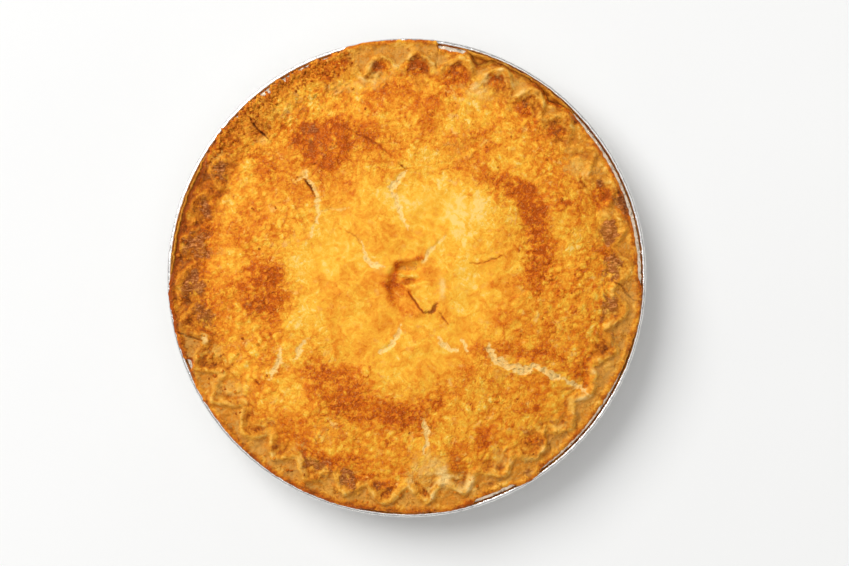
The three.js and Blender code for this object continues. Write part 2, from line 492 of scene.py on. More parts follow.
def edgeRadius(angle):  # the crust's outline seen from above
    radius = rim["edgeRadius"]
    for start, end, depth, soft in rim["drawnIn"]:
        radius -= depth * sector(angle, start, end, soft)
    for start, end, depth, soft in rim["pushedOut"]:
        radius += depth * sector(angle, start, end, soft)
    ragged = rim["raggedAll"]
    for start, end, depth, soft in rim["ragged"]:
        ragged += depth * sector(angle, start, end, soft)
    x, y = around(rim["noiseRadius"], angle)
    return radius + ragged * (grain(x, y, 2.2, 1.0) + 0.7 * grain(x, y, 5.5, 2.0) - 0.15)


def lidInset(angle):  # lid's edge inside the lower crust's edge
    inset = 0.35 + 0.3 * grain(*around(rim["noiseRadius"], angle), 9, 6.0)
    for start, end, out, lip, soft in rim["lips"]:
        inset += out * sector(angle, start, end, soft)
    for middle, width, out in rim["bites"]:
        inset += out * hump(turnBetween(angle, middle), width)
    return inset


# crimp, dome, vent and cracks of the lid

crimp = {
    # the zigzag's outer points and the inner points that follow them, as degrees and radius
    "outer": [
        (2.5, 114.0), (13, 114.5), (23.5, 115.0), (34, 115.5), (44.5, 116.4), (54.5, 116.4), (65, 116.9),
        (76, 115.4), (87, 114.3), (97, 112.8), (107.5, 113.5), (118, 113.5), (129, 113.5), (139.5, 113.5),
        (150, 114.0), (160.5, 115.0), (171, 116.0), (181.5, 117.0), (192, 118.0), (203, 116.6),
        (212.5, 115.9), (223.5, 114.8), (233.5, 114.8), (243.5, 114.8), (254, 114.3), (264, 115.4),
        (275, 113.8), (285, 112.3), (296, 112.3), (306.5, 113.3), (318, 113.3), (329, 110.4),
        (340.5, 112.3), (351.5, 112.8),
    ],
    "inner": [
        (8, 104.0), (18, 104.5), (29, 105.0), (39, 105.5), (49.5, 105.8), (60, 106.0), (70.5, 106.0),
        (81.5, 105.6), (92, 104.5), (102, 104.0), (112.5, 104.5), (123.5, 104.5), (134, 104.5),
        (145, 104.8), (155, 105.2), (166, 105.6), (176, 106.0), (187, 106.3), (197, 105.6), (207, 105.2),
        (218, 105.1), (229, 105.0), (238.5, 105.0), (249, 104.8), (259, 105.2), (270, 105.2), (280, 104.6),
        (290, 104.6), (301, 104.6), (312, 104.8), (323.5, 104.6), (335, 103.1), (345, 102.8),
        (356.5, 103.4),
    ],
    "ridge": 1.25,
    "halfWidth": 2.2,
    # start and end in degrees, strength and softness
    "strong": [
        (41, 105, 0.95, 6), (190, 360, 1.0, 8), (0, 41, 0.6, 8), (147, 190, 0.8, 8), (105, 147, 0.12, 6),
    ],
    "crumbly": (105, 148, 6),
    "folded": (148, 190, 8),
    "lumps": {"first": 161.5, "perTurn": 36, "height": 0.75},  # rounded folds on the left
    "perDegree": 4,  # points of the zigzag's line
    "pointed": 1.35,
    "floor": (36.0, 35.0),  # height outside the zigzag, at its foot and edge
}

blister = {
    "cell": 4.5,
    "lift": 0.7,
    "fields": [(-84, -38, 0.45, 18), (80, -10, 0.35, 20)],  # x, y, strength and width
}

dome = {"foot": 102.0, "footHeight": 37.4, "rise": 9.6, "fullness": 2.4, "shoulder": 0.75}

vent = {
    "middle": (4.0, -5.0),
    "reach": 22,
    "bowl": (-0.4, -5.2, 8.6, 12.8, 6),  # centre, radii and turn
    "slot": (1.2, 5.0, 6.4, 2.0, 8),
    "pit": (1.0, -2.0, 3.6, 1.5, 12),
    "streaks": (-1.2, -6.6, 3.0, 3.6, 20),
    "paleStrip": (17.8, -4.5, 2.0, 6.5, 5),
    "fold": [(-4.6, 1.6), (-1.0, 1.4), (1.5, 0.7), (5.4, 1.0)],
    "rim": [(-6.5, 8.4), (-1, 9.6), (5.5, 10.6)],
    "topWall": [(-5.2, 7.0), (-1, 8.0), (3, 9.0), (8, 9.8)],
    "wall": [(-5.2, 6.0), (-5.6, 2.0), (-6.4, -2.5), (-5.4, -3.5)],
    "ring": [(-9.3, -5.0), (-9.0, -9.5), (-6.4, -13.6), (-1.5, -17.2), (4.0, -18.8), (8.2, -18.6)],
}

# how deep each crack is, how pale inside and how dark (painted shade in the slits, browning in the scorched
# and browned marks), then its points: x, y and width
cracks = [
    (0.6, 1.0, 0.0, [(40.5, -32.5, 1.8), (42.5, -37.5, 2.3), (46, -42, 3.0), (52, -45, 3.3), (58, -47, 3.5),
        (64, -44.3, 2.9), (70, -47, 3.2), (74, -49, 2.8), (80, -52, 2.0), (85, -54, 1.9), (90, -57, 1.4),
        (93, -60, 0.9)]),
    (0.6, 1.0, 0.0, [(16, -30, 1.2), (19, -33.6, 2.6), (22.5, -36.2, 2.9), (25.5, -36, 2.4)]),
    (0.4, 0.95, 0.0, [(27.6, -31.5, 1.7), (29, -34, 2.0), (30.5, -36.8, 2.4)]),
    (1.2, 0.3, 0.9, [(-52.4, 50.8, 0.7), (-48.9, 45.6, 1.1), (-45.9, 40.6, 0.9)]),
    (0.4, 0.95, 0.0, [(-50, 53.5, 1.2), (-50.6, 50.6, 1.8), (-47.5, 45, 1.8), (-44.6, 40, 1.4),
        (-44.6, 33, 1.7), (-46, 28, 1.1), (-47.8, 20, 0.8)]),
    (0.5, 0.7, 0.0, [(-57, 48.5, 1.0), (-52, 50.5, 1.6), (-49, 53, 1.0)]),
    (0.4, 0.6, 0.0, [(-44, 33, 0.9), (-37, 33.8, 1.1), (-29, 35, 0.8)]),
    (0.9, 0.2, 0.7, [(-4, 58.5, 0.7), (-1.5, 55.5, 0.9), (0.5, 54, 0.6)]),
    (0.4, 0.95, 0.0, [(0, 53.5, 1.1), (-4, 50, 2.0), (-7, 45, 2.4), (-5.5, 40, 1.8), (-3.5, 35, 1.6),
        (-2, 30, 1.6), (0.5, 25, 0.9)]),
    (0.3, 0.95, 0.0, [(-22.5, 18, 1.1), (-21, 13, 1.7), (-19, 9, 2.0), (-15, 6.5, 2.2), (-11, 4.5, 1.6)]),
    (0.5, 0.8, 0.0, [(8.5, 7, 1.5), (11, 11, 1.9), (14, 15.5, 1.8), (20, 21.5, 1.1)]),
    (0.6, 0.1, 0.6, [(32, 6.8, 0.5), (39, 8, 0.6), (45, 9.8, 0.7), (49, 11, 0.6)]),
    (0.6, 0.85, 0.0, [(-2.5, -24, 1.2), (-4, -29, 2.2), (-8, -34, 2.0), (-13.5, -38, 2.2)]),
    (0.35, 0.95, 0.0, [(-63, -35, 1.4), (-65, -42, 2.1), (-67.5, -48, 2.0), (-69, -52, 1.2)]),
    (0.5, 0.9, 0.0, [(-50, -31, 1.4), (-53.5, -36.5, 2.2), (-57, -41.5, 1.4)]),
    (0.35, 0.95, 0.0, [(8, -71, 0.9), (10.5, -77, 1.7), (9.5, -84, 1.3), (9, -89, 1.4)]),
    (1.0, 0.0, 0.95, [(-82, 84, 0.4), (-78, 78.5, 0.6), (-75.5, 75, 0.4), (-73, 72.5, 0.7),
        (-69.5, 69.5, 0.5)]),
    (0.8, 0.0, 0.55, [(-118, -26.5, 0.8), (-113, -29, 0.7), (-108, -30.5, 0.9), (-103, -32, 0.5)]),
    (0.8, 0.0, 0.45, [(104, -1, 0.6), (109, -4.5, 0.9), (112, -8.5, 0.9), (118, -12, 0.9)]),
    (0.7, 0.4, 0.4, [(15.6, 119, 0.9), (15.9, 112, 0.8), (15.4, 105.5, 0.7)]),
    (0.8, 0.5, 0.7, [(-46.3, -80.5, 0.9), (-45.2, -83.5, 0.9)]),
    (0.8, 0.0, 0.8, [(-77, -50.8, 0.7), (-75.2, -53.6, 0.7)]),
    (0.8, 0.0, 0.8, [(20, 94, 0.6), (20.6, 91.6, 0.7)]),
    (0.9, 0.0, 0.8, [(-95, -39.4, 0.5), (-92.6, -38.6, 0.8)]),
    (0.3, 0.0, 0.45, [(111, 33.5, 2.4), (109.8, 38, 4.2), (107.8, 43, 2.6)]),
    # wrinkles that have browned
    (0.25, 0.0, 0.3, [(-31, 75.5, 0.5), (-22, 72, 0.8), (-15, 67, 0.8), (-6, 60.5, 0.6)]),
    (0.25, 0.0, 0.3, [(-34, 27, 0.5), (-27, 21.5, 0.8), (-22, 15.5, 0.7)]),
    (0.2, 0.0, 0.22, [(-57, 39, 0.6), (-55, 33, 0.9), (-51, 28, 0.6)]),
    # slits round the flap in the vent
    (0.7, 0.0, 0.62, [(1.4, -7.6, 1.4), (3.2, -10.4, 1.1), (5.4, -13.6, 1.0), (8.4, -17.6, 0.9),
        (11.4, -17.3, 1.0), (13.4, -16.1, 1.7), (15.0, -14.7, 2.0), (15.4, -12.4, 0.9)]),
    (0.7, 0.0, 0.55, [(16.2, -17.6, 0.7), (17.2, -18.0, 0.9), (18.4, -20.2, 0.8), (20.6, -22.8, 0.6)]),
]

# how far right the sagged line lies that bounds the right brown band, every 6 mm of y
slump = {"step": 6.0, "from": 35, "to": 80, "line": [58.5, 60.8, 60.6, 60.2, 59.4, 57.0, 51.5, 49.8, 49.0]}

# browned patches: x, y, radius along and across, turn in degrees, strength
browned = [
    (-43, 68, 14, 12, 0, 0.55), (-42, 74, 10, 5, -12, 0.3), (-38, 58, 8, 6, 30, 0.10),
    (-50, 65, 5, 4, 0, 0.14), (-22, 72, 13, 5, -25, 0.12), (-15, 87, 7, 5, 0, 0.24),
    (-13, 96, 6, 3.5, 40, 0.2), (-3, 94, 5, 3, 45, 0.18), (-71, 57, 5.5, 11, 0, 0.26),
    (-71, 4, 9, 8, 0, 0.26), (-73, -9, 13, 13, 0, 0.22), (-66, -8, 6, 12, 0, 0.24),
    (-78, -15, 5, 6, 0, 0.05), (-66, -25, 5, 8, 0, 0.14), (-53, 42, 4, 6, 0, 0.14), (-84, 20, 6, 4, 0, 0.2),
    (53, 46, 8, 6, -50, 0.34), (61, 38, 6.5, 9, 20, 0.62), (65, 30, 6, 7, 20, 0.32),
    (67, 21, 6, 8, 0, 0.14), (67, 11, 7, 8, 0, 0.12), (65, 1, 9, 7, 0, 0.2), (57, -4, 10, 6, 0, 0.14),
    (70, 12, 7, 12, 0, 0.08), (49, -20, 6.5, 6, 0, 0.3), (36, -36, 4.5, 4, 0, 0.26),
    (48, -35, 5, 4, 0, 0.26), (66, -39, 13, 4, -8, 0.24), (90, -46, 4, 8, 0, 0.24),
    (82, -46, 5, 3.5, 0, 0.12), (11, -63, 5.5, 4, 0, 0.34), (62, -65, 8, 4, 30, 0.28),
    (40, -82, 5, 3.5, -40, 0.3), (25, -95, 5, 4, 0, 0.28), (66, -82, 7, 3, 15, 0.28),
    (32, -113, 4, 3, 0, 0.3), (-44, -48, 9, 7, 0, 0.22), (-36, -54, 14, 9, -25, 0.3),
    (-22, -64, 14, 9, -20, 0.34), (-4, -70, 14, 6, 0, 0.32), (-29, -69, 6, 5, 0, 0.16),
    (12, -74, 12, 4, 0, 0.16), (28, -47, 7, 5, 0, 0.12), (20, -58, 10, 4, 0, 0.1),
    (-58, -79, 6, 10, 40, 0.2), (-42, -92, 12, 3.4, -28, 0.28), (-25, -93, 14, 3, -8, 0.12),
    (-62, -70, 5, 3, -40, 0.16), (-40, 104, 8, 4, 0, 0.24), (-55, 98, 6, 4, 0, 0.16),
    (-88, 68, 8, 5, -50, 0.18), (12, 79, 6, 7, 0, 0.14), (16, 91, 3, 2.5, 0, 0.22),
    (40, 51, 8, 3.5, -40, 0.12), (22, 55, 9, 3, -15, 0.14), (45, 102, 4, 1.5, 0, 0.35),
    (92, 38, 9, 5, 25, 0.22), (85, 31, 6, 5, 0, 0.1), (80, -22, 18, 9, 0, -0.03), (100, -34, 6, 5, 0, 0.16),
    (31, 42, 2, 1.3, 0, 0.3), (48.5, 10.5, 1.2, 1, 0, 0.3), (42, -4, 2, 3, 0, 0.3),
    (16, 32, 3, 2.5, 0, 0.14), (26, 103, 6, 4, -15, 0.5), (5.5, 107, 6, 4, 0, 0.42),
    (-13.5, 107, 5, 3, 0, 0.4), (45, 98, 5, 2.6, -25, 0.4), (59.5, 85.5, 4.5, 3, -35, 0.45),
    (76, 74, 4, 4, -45, 0.35), (99, 42, 5, 7, 20, 0.4), (109.5, 37.5, 3, 6, 15, 0.9),
    (22, 100, 9, 3, -12, 0.2), (-33, 109, 4, 2, 10, 0.35), (-11, -105, 8, 2, 3, 0.35),
    (-24, -101, 8, 2, 8, 0.35), (11, 3, 4, 2.5, 0, 0.2), (-9.5, -3, 3.5, 4, 0, 0.3),
    (-19, -4, 7, 6, 0, 0.1), (103, 13, 5, 8, 0, 0.14), (80, 12, 5, 8, 0, -0.1), (24, 83, 3, 5, 0, 0.08),
]

# pale yellow or floury places, with how bare the dough looks there
paleSpots = [
    (38, 94, 8, 7, 0, 0.75), (28, 72, 7, 10, 20, 0.3), (26, 60, 5, 5, 0, 0.35), (86, 57, 7, 6, 0, 0.7),
    (57, 97, 4, 5, 0, 0.5), (-28, 97, 14, 4, 8, 0.6), (-12, 102, 5, 4, 0, 0.6), (-60, 86, 9, 4, 15, 0.4),
    (-72, 69, 3, 3, 0, 0.8), (12, -97, 11, 8, 0, 0.85), (27, -104, 9, 5, -10, 0.6), (47, -91, 5, 5, 0, 0.6),
    (-89, -57, 10, 5, 0, 0.65), (-96, -37, 4, 4, 0, 0.6), (-86, -33, 4, 4, 0, 0.4),
    (-55, -86, 4, 3, 0, 0.5), (-40, -78, 9, 5, 0, 0.35), (-4, 108, 3, 4, 0, 0.5), (47, -49, 5, 3, -30, 0.5),
    (-52, 53, 4, 2.5, 40, 0.8), (-8.5, 4.5, 2, 2.5, 0, 0.5), (-14.5, 5.5, 5, 2.6, -30, 0.5),
    (-20.5, 12, 2.0, 4.5, 10, 0.35), (14, 41, 9, 6, 20, 0.3), (-10, -1, 1.6, 1.6, 0, 0.3),
    (12, 12, 2.2, 6, -35, 0.5), (18, -5, 2, 5, 0, 0.4), (-96, 62, 4, 3, 0, 0.5), (76, -74, 6, 4, 0, 0.4),
    (-69, -74, 7, 4, 0, 0.3), (73, 45, 5, 5, 0, 0.2), (-91, 13, 5, 1.6, 10, 0.6), (26, 97, 2.5, 2, 0, 0.5),
    (103, -12, 3, 3, 0, 0.2), (92, -59, 5, 4, 0, 0.6),
]

# yellow places with less colour from the oven than their surroundings
yellowSpots = [
    (15, 38, 22, 12, 0, 0.2), (10, -24, 12, 5, 0, 0.08), (-50, -22, 12, 9, 0, 0.08),
    (32, -6, 13, 11, 0, 0.15), (-35, 14, 20, 12, 0, 0.1), (24, 15, 15, 11, 0, 0.13),
    (-45, -42, 12, 9, 0, 0.05), (-28, -60, 14, 7, 0, 0.05), (-10, 40, 12, 14, 0, 0.07),
    (38, -22, 8, 6, 0, 0.06), (-55, -12, 10, 22, 0, 0.1), (-25, -12, 16, 12, 0, 0.04),
    (-86, -36, 12, 16, 0, 0.07), (14, 62, 12, 8, 0, 0.14), (30, 84, 14, 9, 0, 0.16),
    (40, -60, 8, 6, 0, 0.1), (-64, -60, 11, 11, 0, 0.14), (-30, -84, 14, 5, -12, 0.08),
    (82, -14, 14, 10, 0, 0.06), (38, 30, 16, 12, 0, 0.1), (-90, 40, 8, 10, 0, 0.12),
    (88, 20, 12, 14, 0, 0.08), (-60, 20, 12, 14, 0, 0.04), (60, 60, 12, 8, 0, 0.06),
    (-30, 82, 12, 4, 0, 0.1),
]

# dark glossy places where glaze has pooled
glazed = [
    (27, 104, 3, 2.5, 30, 0.55), (5, 106, 3, 2, 0, 0.4), (-15, 108, 3, 1.6, 0, 0.35),
    (76, 74, 2, 3, 30, 0.4), (60, 87, 2.5, 2, 0, 0.3), (97, 46, 3, 4, 0, 0.5), (103, 24, 3.8, 4.4, 0, 1.25),
    (102, 18.5, 2, 2.4, 0, 0.8), (104, 5, 4, 5.5, 0, 1.1), (109.5, 37.5, 3, 5, 15, 1.5),
    (103.5, -14, 4, 4.5, 0, 0.9), (99, -21, 3, 2, 0, 0.5), (-95.5, 51.5, 5.5, 4.6, 0, 0.9),
    (-107, 47, 2.5, 6, -25, 0.3), (-102, 37, 4, 4, 0, 0.9), (-100, 30, 2, 5, 0, 0.55),
    (-105, 19, 6, 7, 0, 1.05), (-113, 12, 3, 5, 0, 0.3), (-109, 2, 5, 3, 0, 0.4),
    (-106.5, -5, 5, 5, 0, 0.9), (-113, -9, 4, 3, 0, 0.35), (-104, -18, 5, 5, 0, 0.8),
    (-100, -23, 3, 3, 0, 0.6), (-46, -94, 6, 3.2, -15, 0.95), (-30, -102, 5, 3.6, -10, 1.0),
    (-12, -105, 6, 2.6, 0, 0.6), (-98, 57, 4, 3, 0, 0.5), (-44, 68, 7, 6, 0, 0.55),
    (-47, 75, 5, 3, 0, 0.55), (-77, -15, 4, 4, 0, 0.35), (98, -3, 3, 4, 0, 0.35),
    (90, -52, 2.4, 5, 0, 0.45), (-57, 66, 3, 4, 0, 0.3), (-61, -99, 3, 2, 0, 0.4),
    (-38, -110, 4, 2, -30, 0.5), (46, -105, 5, 1.6, -10, 0.5), (62, -99, 3, 2, 30, 0.5),
    (87, -62, 3, 2, 60, 0.4), (105, -29, 3, 2, 0, 0.5), (-82, -14, 2, 3, 0, 0.3),
]


# small round blisters that have darkened round their edge: x, y, radius
bubbles = [
    (62.9, 20.3, 2.3), (61.8, 5.0, 2.1), (58.9, 8.0, 1.6), (65.4, -7.7, 1.5), (62.9, 11.2, 2.2),
    (70.5, 8.5, 1.7), (57.5, 14.6, 1.3), (-21, -47, 3.0), (-31, -58, 2.0), (-9, -62, 2.2), (3, -66, 1.8),
    (-45, -57, 2.0), (31, -66, 2.2), (45, -61, 1.8), (-64, 3, 1.8), (-77, -2, 1.6), (78, -8, 2.1),
    (84, -16, 1.7), (73, -26, 2.0), (91, 10, 1.8), (87, 2, 2.2), (-88, 26, 1.9), (-82, 12, 1.6),
    (-36, 79, 1.8), (-30, 66, 1.6), (-56, 71, 1.7), (52, -74, 1.8), (-12, -84, 2.0), (-32, -80, 1.7),
    (-70, -30, 2.0), (68, 62, 2.0), (78, 36, 2.3), (88, 47, 1.6), (12, 84, 1.7), (34, 72, 1.8),
    (-2, 82, 1.5), (56, -28, 1.9), (94, -20, 1.6), (81, 24, 2.0),
]


def ovalReach(x, y, spot):  # 0 in the middle of an ellipse and 1 on its line
    along, across, turn = spot[2:5]
    cos = math.cos(math.radians(turn))
    sin = math.sin(math.radians(turn))
    dx = x - spot[0]
    dy = y - spot[1]
    return math.hypot((dx * cos + dy * sin) / along, (dy * cos - dx * sin) / across)


def oval(x, y, spot, soft):  # 1 inside an ellipse and 0 outside
    return smooth(1 + soft, 1 - soft, ovalReach(x, y, spot))


def spotsAt(spots, soft, reach=34.0, limit=2.4):  # gives a function that adds up ragged spots
    tree = treeOf(spots)

    def total(x, y):
        strength = 0.0
        for place, index, away in tree.find_range((x, y, 0), reach):
            far = ovalReach(x, y, spots[index])
            if far < limit:
                far += 0.5 * grain(x, y, 7.0, 14) + 0.35 * grain(x, y, 3.0, 15)
                strength += spots[index][5] * smooth(1 + soft, 1 - soft, far)
        return strength

    return total


brownedAt = spotsAt(browned, 0.6)
yellowAt = spotsAt(yellowSpots, 0.5)
paleAt = spotsAt(paleSpots, 0.8)
glazedAt = spotsAt(glazed, 0.9)
bubbleTree = treeOf(bubbles)


def crackSamples(spacing=0.3):  # points along the cracks: x, y, width, marks
    samples = []
    for depth, pale, dark, path in cracks:
        start = path[0][:2]
        end = path[-1][:2]
        for first, second in zip(path, path[1:]):
            steps = max(1, round(math.dist(first[:2], second[:2]) / spacing))
            for step in range(steps):
                x, y, width = (blend(a, b, step / steps) for a, b in zip(first, second))
                width *= 0.35 + 0.65 * smooth(0, 5, min(math.dist((x, y), start), math.dist((x, y), end)))
                width *= max(0.3, 1 + 0.4 * grain(x, y, 2.2, 13) + 0.7 * grain(x, y, 5.5, 16))
                shake = 0.7 * min(max(width, 0.7), 1.6)
                x += shake * grain(x, y, 2.6, 11) + 1.2 * grain(x, y, 7, 17)
                y += shake * grain(x, y, 2.6, 12) + 1.2 * grain(x, y, 7, 18)
                samples.append((x, y, width, depth, pale, dark))
    return samples


crackPoints = crackSamples()
crackTree = treeOf(crackPoints)


def crimpLine():  # radius and level of the zigzag by angle
    ends = []
    for (outAngle, outRadius), (inAngle, inRadius) in zip(crimp["outer"], crimp["inner"]):
        ends += [(outAngle, outRadius, 1.0), (inAngle, inRadius, 0.0)]
    line = []
    for step in range(360 * crimp["perDegree"]):
        angle = step / crimp["perDegree"]
        after = next((index for index, end in enumerate(ends) if end[0] > angle), 0)
        first = ends[after - 1]
        last = ends[after]
        part = ((angle - first[0]) % 360) / ((last[0] - first[0]) % 360)
        inner, outer = (last, first) if first[2] else (first, last)
        out = 1 - part if first[2] else part
        level = 1 - (1 - out) ** crimp["pointed"]
        radius = blend(inner[1], outer[1], level)
        x, y = around(radius, angle)
        radius += 1.6 * grain(x, y, 8, 41) + 0.9 * grain(x, y, 3.4, 42)
        line.append((radius, level))
    return line


zigzag = crimpLine()
zigzagTree = treeOf([around(point[0], step / crimp["perDegree"]) for step, point in enumerate(zigzag)])


def crimpStrength(angle):
    return max(level * sector(angle, start, end, soft) for start, end, level, soft in crimp["strong"])


def domeHeight(radius):
    part = min(radius / dome["foot"], 1.0)
    return dome["footHeight"] + dome["rise"] * max(0.0, 1 - part ** dome["fullness"]) ** dome["shoulder"]


def fromLine(x, y, path):  # distance to a line of points
    nearest = 99.0
    for (ax, ay), (bx, by) in zip(path, path[1:]):
        dx = bx - ax
        dy = by - ay
        part = min(max(((x - ax) * dx + (y - ay) * dy) / (dx * dx + dy * dy), 0.0), 1.0)
        nearest = min(nearest, math.hypot(x - ax - dx * part, y - ay - dy * part))
    return nearest


def ventShape(x, y):  # change of height and the marks of the vent
    if math.dist((x, y), vent["middle"]) > vent["reach"]:
        return 0.0, {"toast": 0.0, "pressed": 0.0, "hollow": 0.0, "pale": 0.0}
    jx = x + 0.7 * grain(x, y, 3.2, 61)
    jy = y + 0.7 * grain(x, y, 3.2, 62)
    bowl = oval(jx, jy, vent["bowl"], 0.16)
    slot = oval(jx, jy, vent["slot"], 0.3)
    pit = oval(jx, jy, vent["pit"], 0.4)
    streaks = oval(jx, jy, vent["streaks"], 0.5) * (0.6 + 0.8 * grain(x * 0.7 + y, y * 0.2 - x, 1.6, 63))
    fold = hump(fromLine(jx, jy, vent["fold"]), 1.0)
    wall = hump(fromLine(jx, jy, vent["wall"]), 1.5)
    topWall = hump(fromLine(jx, jy, vent["topWall"]), 1.0)
    rimUp = hump(fromLine(x, y, vent["rim"]), 1.5)

    # the flap lies right of a slanting slit
    fromSlit = (jx - 1.4) * 0.805 + (jy + 8) * 0.592
    flap = smooth(-0.5, 0.5, fromSlit) * smooth(-18.2, -17.0, jy) * smooth(17.2, 15.2, jx)
    flap *= smooth(-0.6, -2.6, jy + 0.12 * jx)
    lip = flap * (hump(fromSlit - 0.9, 1.3) + 0.7 * hump(jy + 16.6, 1.3))
    ring = hump(fromLine(jx, jy, vent["ring"]), 1.9) * (1 - flap)
    height = -2.4 * bowl * (1 - 0.8 * flap) * smooth(-22, -2, jy + 0.4 * abs(jx))
    height += -1.3 * slot - 0.7 * pit + 1.3 * fold + 0.7 * lip + 0.6 * rimUp - 0.35 * flap
    fold *= smooth(-5.6, -4.0, x)
    # painted shade: the side wall, the top wall and the pit are drawn darker; the fold is drawn paler, a
    # painted highlight
    toast = 0.4 * wall + 0.26 * ring + 0.42 * topWall + 0.34 * streaks + 0.45 * pit
    toast += 0.1 * bowl * (1 - flap) - 0.1 * flap - 0.3 * fold
    pale = 0.25 * fold + 0.5 * oval(jx, jy, vent["paleStrip"], 0.9)
    pressed = 0.65 * slot * (1 - topWall)
    return height, {"toast": toast, "pressed": pressed, "hollow": 0.25 * pit, "pale": pale}


def pastSlump(x, y):  # the right brown band ends along a sharp line
    place = y / slump["step"]
    spans = len(slump["line"]) - 1
    if not 0 <= place < spans or not slump["from"] < x < slump["to"]:
        return 1.0
    first = int(place)
    line = blend(slump["line"][first], slump["line"][first + 1], place - first)
    ends = smooth(0.0, 0.8, place) * smooth(0.0, 0.8, spans - place)
    return blend(1.0, smooth(-1.2, 0.6, x - line + 0.8 * grain(x, y, 3, 55)), ends)


def blisterShape(x, y, radius, inner):  # rounded cells, strongest away from the middle
    wx = x + 3.2 * grain(x, y, 9, 31) + 1.2 * grain(x, y, 3.5, 34)
    wy = y + 3.2 * grain(x, y, 9, 32) + 1.2 * grain(x, y, 3.5, 35)
    cell = noise.voronoi(Vector((wx / blister["cell"], wy / blister["cell"], 0.0)))[0]
    blob = smooth(0.05, 0.75, min((cell[1] - cell[0]) * 1.6, 1.0))
    strength = 0.2 + 0.8 * smooth(45, 75, radius)
    strength *= 0.6 + 0.5 * grain(x, y, 17, 33)
    for middleX, middleY, share, width in blister["fields"]:
        strength += share * hump(math.hypot(x - middleX, y - middleY), width)
    lift = blister["lift"] * strength * (0.35 + 0.65 * inner) * (blob - 0.5)
    return lift, blend(0.5, blob, min(1.0, strength * 1.3) * (0.3 + 0.7 * inner))


def bubbleShape(x, y):  # small domed blisters and their dark rings
    lift = 0.0
    ring = 0.0
    for place, index, away in bubbleTree.find_range((x, y, 0), 4.0):
        size = bubbles[index][2]
        lift += 0.192 * size * max(0.0, 1 - (away / size) ** 2) - 0.12 * hump(away - size, 0.5)
        ring += hump(away - size, 0.55) - 0.5 * hump(away, size * 0.5)
    return lift, ring


def crimpShape(x, y, radius, angle, edge, strength, height):  # the new height and the marks of the crimp
    path, wave = zigzag[round(angle * crimp["perDegree"]) % len(zigzag)]
    away = zigzagTree.find((x, y, 0))[2]
    off = away if radius > path else -away
    uneven = max(0.45, 1 + 0.8 * grain(x, y, 5, 44) + 0.6 * grain(x, y, 2.4, 45))
    floor = blend(*crimp["floor"], smooth(108, edge, radius)) + 0.35 * grain(x, y, 5, 43)
    floor += 0.4 * grain(angle * 1.9, radius * 0.28, 1.0, 46)
    floor += (0.75 + 0.6 * grain(x, y, 4, 47)) * hump(radius - (edge - 1.4), 1.3)
    deep = hump(radius - (path - 4.6), 3.2) * smooth(0.4, 0.85, wave)
    pocket = deep * strength
    height -= (1.0 + 0.5 * grain(x, y, 4, 48)) * pocket
    out = smooth(-0.3, 1.9, off)
    height = blend(height, min(height, floor), out * strength + (1 - strength) * smooth(103, 117, radius))
    halfWidth = crimp["halfWidth"] * (1 + 0.3 * grain(x, y, 7, 49))
    crest = hump(off + 0.2, halfWidth) * strength
    crest *= (0.85 + 0.6 * grain(x, y, 9, 62)) * smooth(edge, edge - 2.5, radius)
    height += crimp["ridge"] * crest * uneven
    fold = smooth(-10, -3, off) * smooth(9, 5, off) * strength * (0.7 + 1.1 * grain(x, y, 7, 57))
    fold *= math.sin(off * 1.9 + 5.0 * grain(x, y, 5, 56)) * smooth(edge, edge - 2, radius)
    height += 0.24 * fold
    height += 0.5 * smooth(98, 104, radius) * grain(x, y, 3.4, 58)
    pressed = smooth(0.2, 2.6, off) * strength
    pressed *= smooth(edge - 0.9, edge - 4.6, radius + 1.6 * grain(x, y, 5, 66))
    # painted shade: darker lines in the creases on both sides of the ridge
    seamShade = (0.6 + grain(x, y, 5, 59)) * (hump(off - 2.2, 1.2) + 0.5 * hump(off + 3.2, 0.9)) * strength
    return height, {
        "deep": deep,
        "pocket": pocket,
        "crest": crest,
        "fold": fold,
        "pressed": pressed,
        "seamShade": seamShade,
    }


def crackShape(x, y):  # change of height and the marks of a crack
    index, away = crackTree.find((x, y, 0))[1:]
    width, depth, palest, darkest = crackPoints[index][2:]
    half = width / 2
    if away >= half + 1.8:
        return 0.0, {"pale": 0.0, "hollow": 0.0, "toast": 0.0}
    opened = smooth(half + 0.25, half - 0.35, away)
    wide = smooth(1.6, 2.6, width)
    height = -depth * opened * (1 + 0.4 * grain(x, y, 0.9, 71)) * max(0.35 + 0.65 * wide, darkest)
    height += 0.35 * depth * hump(away - half - 0.8, 0.7)
    ragged = away + 1.2 * grain(x, y, 1.8, 73) + 0.5 * grain(x, y, 0.8, 74)
    pits = smooth(0.1, 0.4, grain(x, y, 1.3, 72)) * smooth(width * 0.5, 0.0, away) * palest
    height -= 0.5 * pits
    # the dark inside of a slit and of its pits is painted shade; in the browned marks it is browning
    return height, {
        "pale": palest * smooth(half + 1.3, half - 0.5, ragged),
        "hollow": darkest * smooth(half + 0.2, half - 0.3, away) + (0.24 + 0.16 * wide) * pits,
        "toast": 0.6 * darkest * smooth(half + 0.6, half - 0.3, away) * (1 - palest),
    }


